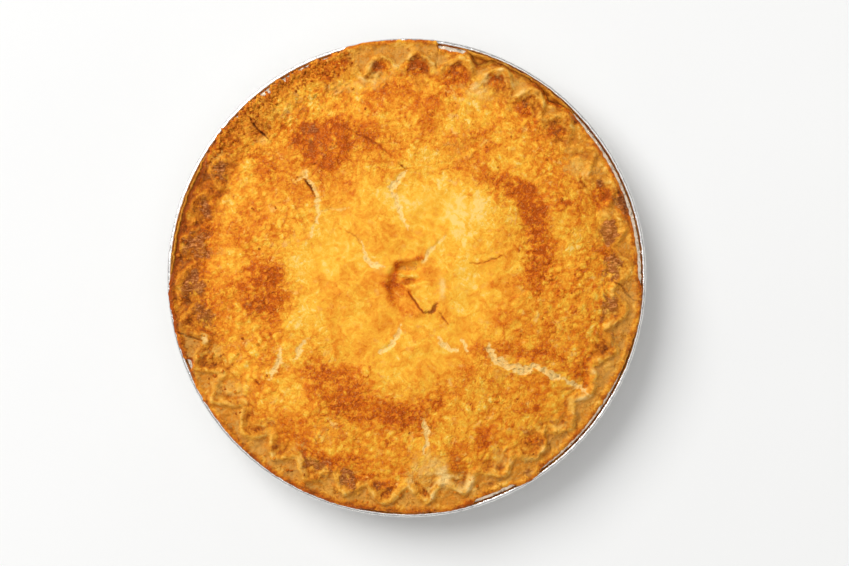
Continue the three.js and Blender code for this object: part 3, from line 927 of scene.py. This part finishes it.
def lidShape(x, y):  # height of the lid and its marks at a place
    radius = math.hypot(x, y)
    angle = math.degrees(math.atan2(y, x)) % 360
    edge = edgeRadius(angle) - lidInset(angle)
    strength = crimpStrength(angle)
    crumbly = sector(angle, *crimp["crumbly"]) * smooth(84, 98, radius)
    left = sector(angle, *crimp["folded"])
    inner = smooth(114, 100, radius)
    slumped = pastSlump(x, y)

    # slow lumps of the filling, smaller swells of the dough and its blisters
    height = domeHeight(radius)
    height += inner * (1.2 * grain(x, y, 30, 21) + 0.7 * grain(x, y, 13, 22))
    height += 0.3 * grain(x, y, 5.2, 23) + 0.12 * grain(x, y, 2.4, 24)
    lift, blob = blisterShape(x, y, radius, inner)
    rise, ring = bubbleShape(x, y)
    height += lift + rise
    height -= 0.9 * smooth(0.0, 1.0, slumped) * hump(math.hypot(x - 63, (y - 24) * 0.45), 11)

    # the rim: crimp, folds on the left, and the crumbly part
    height, fromCrimp = crimpShape(x, y, radius, angle, edge, strength, height)
    height += 0.9 * left * smooth(97, 103, radius) * (0.3 - abs(grain(x * 0.8, y, 4.6, 68)))
    turn = (angle - crimp["lumps"]["first"] + 5 * grain(x, y, 14, 69)) * crimp["lumps"]["perTurn"]
    lump = math.cos(math.radians(turn)) * left * smooth(101, 107, radius)
    height += crimp["lumps"]["height"] * lump * smooth(edge, edge - 2, radius)
    crumb = noise.voronoi(Vector((x / 1.9, y / 1.9, 3.0)))[0][0]
    height += crumbly * ((0.5 - crumb) + 0.8 * grain(x, y, 4.5, 52) + 0.4 * grain(x, y, 1.6, 51))
    # pits in the crumbly part: pressed in here and drawn dark further on, painted shade
    pits = crumbly * smooth(0.12, 0.4, grain(x, y, 1.5, 81)) * smooth(-0.3, 0.2, grain(x, y, 7, 82))
    height -= 0.6 * pits

    ventLift, fromVent = ventShape(x, y)
    crackLift, fromCrack = crackShape(x, y)
    height += ventLift + crackLift

    # colour from the oven
    pocket = fromCrimp["pocket"]
    crest = fromCrimp["crest"]
    fold = fromCrimp["fold"]
    outermost = smooth(edge - 2.4, edge - 0.5, radius + 0.8 * grain(x, y, 4, 65))
    brown = brownedAt(x, y)
    leftToast = 0.24 + 0.1 * sector(angle, 146, 172, 8) + 0.3 * grain(x, y, 7, 67)
    toast = 0.42 + 0.02 * smooth(24, 10, radius) + 0.08 * smooth(46, 72, radius)
    toast += 0.4 * grain(x, y, 6, 53) * smooth(edge - 6.5, edge - 2, radius) + 0.24 * outermost
    toast += crumbly * (0.3 * (crumb - 0.4) + 0.3 * grain(x, y, 9, 83) - 0.08)
    toast += 0.24 * sector(angle, 222, 264, 8) * smooth(edge - 5, edge - 1, radius)
    # darker along the left edge: painted shade under the lower crust's lip; lighter on the tops of the
    # folds and lumps and darker between them: painted light and shade
    toast += 0.4 * left * hump(radius - edge, 1.6) - 0.13 * fold - 0.13 * lump
    toast += 0.45 * math.tanh(brown / 0.42) * slumped
    toast += leftToast * sector(angle, 148, 200, 10) * smooth(94, 106, radius)
    # darker in the seams beside the ridge, painted shade, and in the pockets, painted recess shade together
    # with browning
    toast += 0.22 * fromCrimp["seamShade"] + 0.2 * pocket - 0.08 * crest + 0.28 * ring
    toast += fromVent["toast"] + fromCrack["toast"] - yellowAt(x, y)

    # bare, glazed, hollow, rough and dry places
    bare = 0.7 * paleAt(x, y) + (0.3 + 0.7 * grain(x, y, 5, 60)) * crest * (1 - 0.7 * left)
    # fold tops drawn paler: painted light
    bare += 0.2 * max(fold, 0.0) + fromVent["pale"]
    glaze = glazedAt(x, y) * (0.75 + 0.4 * fromCrimp["deep"])
    glaze += 0.25 * pocket * smooth(-0.3, 0.4, grain(x, y, 20, 54))
    # painted shade in the gap between the lid's edge and the lower crust's raised lip, and in the crumbly
    # pits
    gapShade = max(sector(angle, 58, 75, 4), sector(angle, 150, 180, 8)) * smooth(edge - 1.9, edge - 0.5, radius)
    hollow = fromCrack["hollow"] + 0.26 * pits + 0.55 * gapShade + fromVent["hollow"]
    rough = 0.4 + 0.6 * smooth(40, 66, radius) + 0.25 * crumbly - 0.3 * fromCrimp["pressed"] * strength
    rough += 0.3 * smooth(0.5, 0.8, toast) + 0.35 * grain(x, y, 24, 82)
    rind = smooth(92, 112, radius + 8 * grain(x, y, 14, 84)) * (1 - 0.3 * left) * (1 - 0.45 * crumbly)
    rind *= (1 - 0.6 * outermost) * (1 - 0.6 * smooth(0.0, 0.4, brown))
    pressed = fromCrimp["pressed"] * (1 - crumbly) * (1 - 0.8 * left) + fromVent["pressed"]
    return height, {
        "toast": toast,
        "blob": blob,
        "pressed": pressed,
        "pale": max(fromCrack["pale"], bare),
        "glaze": glaze,
        "hollow": min(1.0, hollow),
        "rough": rough,
        "rind": rind,
    }


lid = {
    "cells": 270,
    "fineFrom": 98.0,  # finer rings outside this radius
    "fineShare": 0.30,
    "edge": 119.0,
    "seat": 33.3,
    "underRadius": 106.0,
    "floorRadius": 89.5,
    "floor": 5.0,
    "fineNear": 0.9,  # finer faces this near to a crack's side
    # steps down the side: how far out from the edge, how far down to the seat, and how rough
    "sides": [(0.3, 0.3, 0.35), (0.15, 0.6, 0.5), (-0.25, 0.9, 0.35), (-1.2, 1.0, 0.0)],
}


def discPlace(x, y):  # a square grid's point moved onto a disc
    ring = max(abs(x), abs(y))
    if ring == 0:
        return 0.0, 0.0, 0.0
    if abs(x) > abs(y):
        angle = math.pi / 4 * (y / x) + (math.pi if x < 0 else 0)
    else:
        angle = math.pi / 2 - math.pi / 4 * (x / y) + (math.pi if y < 0 else 0)
    split = 1 - lid["fineShare"]
    if ring < split:
        return ring / split * lid["fineFrom"], angle, 0.0
    part = (ring - split) / lid["fineShare"]
    return blend(lid["fineFrom"], lid["edge"], part), angle, part


def extrudeRim(bm, edges):  # the new rim, and its points with their old ones
    made = bmesh.ops.extrude_edge_only(bm, edges=edges)["geom"]
    rimEdges = [item for item in made if isinstance(item, bmesh.types.BMEdge) and item.is_boundary]
    points = {vert for edge in rimEdges for vert in edge.verts}
    pairs = []
    for vert in points:
        old = next(edge.other_vert(vert) for edge in vert.link_edges if edge.other_vert(vert) not in points
                   and edge.other_vert(vert).co == vert.co)
        pairs.append((vert, old))
    return rimEdges, pairs


def buildLid(material):
    bm = bmesh.new()
    bmesh.ops.create_grid(bm, x_segments=lid["cells"], y_segments=lid["cells"], size=1.0)
    for vert in bm.verts:
        radius, angle, part = discPlace(vert.co.x, vert.co.y)
        degrees = math.degrees(angle) % 360
        stretch = edgeRadius(degrees) - lidInset(degrees) - lid["edge"]
        radius += stretch * smooth(0.5, 1.0, part)
        vert.co = (radius * math.cos(angle), radius * math.sin(angle), 0.0)
    close = set()
    for vert in bm.verts:
        index, away = crackTree.find(vert.co)[1:]
        if away < crackPoints[index][2] / 2 + lid["fineNear"]:
            close.add(vert)
    fine = [edge for edge in bm.edges if edge.verts[0] in close and edge.verts[1] in close]
    bmesh.ops.subdivide_edges(bm, edges=fine, cuts=1, use_grid_fill=True)
    print("lid grid", len(bm.verts), "points")
    layers = {name: bm.verts.layers.float.new(name) for name in marks}
    for vert in bm.verts:
        vert.co.z, values = lidShape(vert.co.x, vert.co.y)
        for name, value in values.items():
            vert[layers[name]] = value

    # the rounded edge, the seat on the lower crust and the underside
    rimEdges = [edge for edge in bm.edges if edge.is_boundary]
    startOf = {}
    for out, down, roughness in lid["sides"]:
        rimEdges, ring = extrudeRim(bm, rimEdges)
        for vert, old in ring:
            start = startOf.get(old, old.co.copy())
            startOf[vert] = start
            radius = math.hypot(start.x, start.y)
            layer = roughness * noise.noise(Vector((vert.co.x / 2.6, vert.co.y / 2.6, down * 4)))
            grown = (radius + out + layer) / radius
            height = blend(start.z, lid["seat"], down) + 0.3 * layer
            vert.co = (start.x * grown, start.y * grown, height)
    for radius, height in ((lid["underRadius"], lid["seat"]), (lid["floorRadius"], lid["floor"])):
        rimEdges, ring = extrudeRim(bm, rimEdges)
        for vert, old in ring:
            vert.co = (*around(radius, math.degrees(math.atan2(vert.co.y, vert.co.x))), height)
    bmesh.ops.holes_fill(bm, edges=rimEdges)
    bmesh.ops.recalc_face_normals(bm, faces=bm.faces)
    surface = BVHTree.FromBMesh(bm)
    piece = makePiece(bm, "topCrust", material)
    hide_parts("top_crust")
    return surface


# the lower crust

lower = {
    "steps": 900,
    "floor": 1.0,
    "baseRadius": 90.5,
    "mouthRadius": 108.8,
    "thickness": 3.6,
    "top": 33.1,
    "shapedFrom": 112,  # hidden and plain inside this radius
    "marks": {"toast": 0.45, "blob": 0.5, "rough": 1.0, "rind": 1.0},
}


def lowerSection():  # along the underside, round the edge and back
    floor = lower["floor"]
    base = lower["baseRadius"]
    mouth = lower["mouthRadius"]
    top = lower["top"]
    seat = rim["seat"]
    inside = floor + lower["thickness"]
    places = [(0, floor), (60, floor), (base - 3, floor), (base + 1, floor + 3), (mouth - 1, 28)]
    places += [(mouth + 1.5, seat), (114, seat), (117, seat), (118.6, seat + 0.05), (119.5, seat + 0.5)]
    places += [(119.9, seat + 1.2), (119.7, seat + 2.0), (119.1, top - 0.1)]
    places += [(radius, top) for radius in (118.3, 117.5, 116.7, 115.8, 114.5, 110, 105.5)]
    places += [(base - lower["thickness"], inside), (0, inside)]
    return [Vector(place) for place in places]


def buildLower(material):
    bm = spun(lowerSection(), lower["steps"])
    layers = {name: bm.verts.layers.float.new(name) for name in marks}
    for vert in bm.verts:
        for name, value in lower["marks"].items():
            vert[layers[name]] = value
        x, y = vert.co.xy
        radius = math.hypot(x, y)
        if radius < lower["shapedFrom"]:
            continue
        degrees = math.degrees(math.atan2(y, x)) % 360
        edge = edgeRadius(degrees)
        inset = lidInset(degrees)
        moved = radius + (edge - rim["edgeRadius"]) * smooth(114, 118.5, radius)
        fromEdge = edge - moved
        overBead = smooth(119.0, 120.2, moved) * smooth(rim["seat"] + 1.5, rim["seat"], vert.co.z)
        vert.co.z += (rim["beadTop"] - rim["seat"]) * overBead
        lip = 0.0
        for start, end, out, rise, soft in rim["lips"]:
            lip += rise * sector(degrees, start, end, soft)
        lipInside = min(inset, 2.4)
        onTop = smooth(lower["top"] - 1.2, lower["top"], vert.co.z)
        vert.co.z += lip * onTop * smooth(lipInside + 0.4, lipInside * 0.45, fromEdge)
        vert.co.z += onTop * (0.3 * grain(x, y, 3.0, 91) + 0.25 * grain(x, y, 8.0, 92))
        vert.co.x *= moved / radius
        vert.co.y *= moved / radius
        under = smooth(rim["seat"] + 1.4, rim["seat"], vert.co.z)
        # browner at the very edge; drawn darker just inside the lid's edge and in the set-back band at 44
        # to 76 degrees, painted shade in the gap under the lid
        toast = 0.52 + 0.12 * smooth(1.8, 0.2, fromEdge) - 0.1 * under + 0.25 * grain(x, y, 9, 93)
        vert[layers["toast"]] = toast + 0.3 * sector(degrees, 44, 76, 5) * smooth(1.4, 2.4, fromEdge)
        vert[layers["hollow"]] = 0.65 * smooth(inset * 0.6 - 0.3, inset - 0.2, fromEdge) * onTop
    bmesh.ops.recalc_face_normals(bm, faces=bm.faces)
    piece = makePiece(bm, "bottomCrust", material)
    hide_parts("bottom_crust")


# loose crumbs on the crust

crumbs = {
    "seed": 11,
    "count": 900,
    "sizes": (0.25, 1.15),  # length of a crumb from its middle
    "heights": (32.4, 35.2),  # of those that stick to the side of the edge
    # start and end in degrees, nearest and furthest radius, share of the crumbs
    "places": [
        (104, 150, 110, 121, 0.72),
        (150, 200, 108, 119, 0.08),
        (200, 290, 104, 119, 0.08),
        (0, 360, 70, 112, 0.12),
    ],
    "marks": {"rind": 0.6, "blob": 0.5, "rough": 0.6},
}


def buildCrumbs(material, surface):
    chance = random.Random(crumbs["seed"])
    bm = bmesh.new()
    layers = {name: bm.verts.layers.float.new(name) for name in marks}
    for start, end, nearest, furthest, share in crumbs["places"]:
        for turn in range(round(crumbs["count"] * share)):
            degrees = chance.uniform(start, end)
            radius = chance.uniform(nearest, furthest)
            x, y = around(radius, degrees)
            edge = edgeRadius(degrees) - lidInset(degrees)
            spot = surface.ray_cast(Vector((x, y, 80)), Vector((0, 0, -1)))[0]
            if radius > edge - 0.7:
                outside = edge + chance.uniform(-0.2, 0.45)
                spot = Vector((*around(outside, degrees), chance.uniform(*crumbs["heights"])))
            size = blend(*crumbs["sizes"], chance.random() ** 2.2)
            made = bmesh.ops.create_icosphere(bm, subdivisions=2, radius=1.0)["verts"]
            squash = Vector((size, size * chance.uniform(0.5, 0.9), size * chance.uniform(0.3, 0.6)))
            turns = [chance.uniform(-0.5, 0.5), chance.uniform(-0.5, 0.5), chance.uniform(0, 6.28)]
            spin = Euler(turns).to_matrix()
            values = {"toast": chance.uniform(0.5, 1.0), **crumbs["marks"]}
            for vert in made:
                lump = 1 + 0.55 * noise.noise(vert.co * 1.3 + Vector((x, y, turn)))
                shape = Vector([a * b * lump for a, b in zip(vert.co, squash)])
                vert.co = spot + spin @ shape + Vector((0, 0, squash.z * 0.5))
                for name, value in values.items():
                    vert[layers[name]] = value
    piece = makePiece(bm, "crustCrumbs", material)


# floor, lights and camera

photo = {
    "width": 849,
    "height": 566,
    "centreX": 406.8,  # the pie's middle in the picture, in pixels
    "centreY": 277.7,
    "mmPerPixel": 0.5104,
    "planeHeight": 30.0,  # the height where that scale holds
}

studio = {
    "lens": 85.0,
    "sensor": 36.0,
    "viewEnd": 50,
    # how bright the room is by height: pale at the horizon, darker above it and bright overhead
    "room": [(0.0, 0.82), (0.22, 0.8), (0.42, 0.24), (0.7, 0.24), (0.92, 0.9), (1.0, 0.9)],
    "floor": srgb(246, 246, 245),
    "floorCloud": srgb(240, 240, 239),
    "floorRadius": 5000,
    "key": {"place": (-2.3, 2.1, 3.6), "size": 3.2, "power": 178.0},
}


def buildFloor():
    finish = Finish("paleFloor")
    cloudy = finish.noise(finish.place(), 240.0)
    finish.wear(Base_Color=finish.mix(studio["floor"], studio["floorCloud"], cloudy), Roughness=0.7)
    bm = bmesh.new()
    bmesh.ops.create_circle(bm, cap_ends=True, segments=96, radius=studio["floorRadius"])
    floor = makeMesh(bm, "floor", finish.material)


def buildLights():
    light = bpy.data.lights.new("key", "AREA")
    light.shape = "DISK"
    light.size = studio["key"]["size"]
    light.energy = studio["key"]["power"]
    lamp = bpy.data.objects.new("key", light)
    lamp.location = studio["key"]["place"]
    lamp.rotation_euler = Vector(studio["key"]["place"]).to_track_quat("Z", "Y").to_euler()
    bpy.context.scene.collection.objects.link(lamp)
    world = bpy.data.worlds.new("room")
    world.use_nodes = True
    bpy.context.scene.world = world
    room = Nodes(world.node_tree)
    direction = room.node("ShaderNodeTexCoord", output="Generated")
    upward = room.node("ShaderNodeSeparateXYZ", {}, {0: direction}, output="Z")
    stops = [(height, (level, level, level, 1)) for height, level in studio["room"]]
    glow = room.node("ShaderNodeValToRGB", {"stops": stops}, {"Fac": upward})
    glow.socket.node.color_ramp.interpolation = "EASE"
    room.plug(room.tree.nodes["Background"].inputs["Color"], glow)


def buildCamera():
    camera = bpy.data.cameras.new("camera")
    camera.lens = studio["lens"]
    camera.sensor_width = studio["sensor"]
    camera.clip_end = studio["viewEnd"]
    seen = photo["width"] * photo["mmPerPixel"] * mm  # width of the picture at the pan's rim
    height = photo["planeHeight"] * mm + seen * studio["lens"] / studio["sensor"]
    x = (photo["width"] / 2 - photo["centreX"]) * photo["mmPerPixel"] * mm
    y = (photo["centreY"] - photo["height"] / 2) * photo["mmPerPixel"] * mm
    holder = bpy.data.objects.new("camera", camera)
    holder.location = (x, y, height)
    bpy.context.scene.collection.objects.link(holder)
    bpy.context.scene.camera = holder


buildCamera()
buildLights()
buildFloor()
bpy.context.scene.view_settings.view_transform = "Standard"
print("stage ready")
buildPan(panFoil())
print("pan ready")
buildLower(bakedPastry("lowerPastry"))
print("lower crust ready")
lidPastry = bakedPastry("lidPastry")
surface = buildLid(lidPastry)
print("lid ready")
buildCrumbs(lidPastry, surface)
print("crumbs ready")
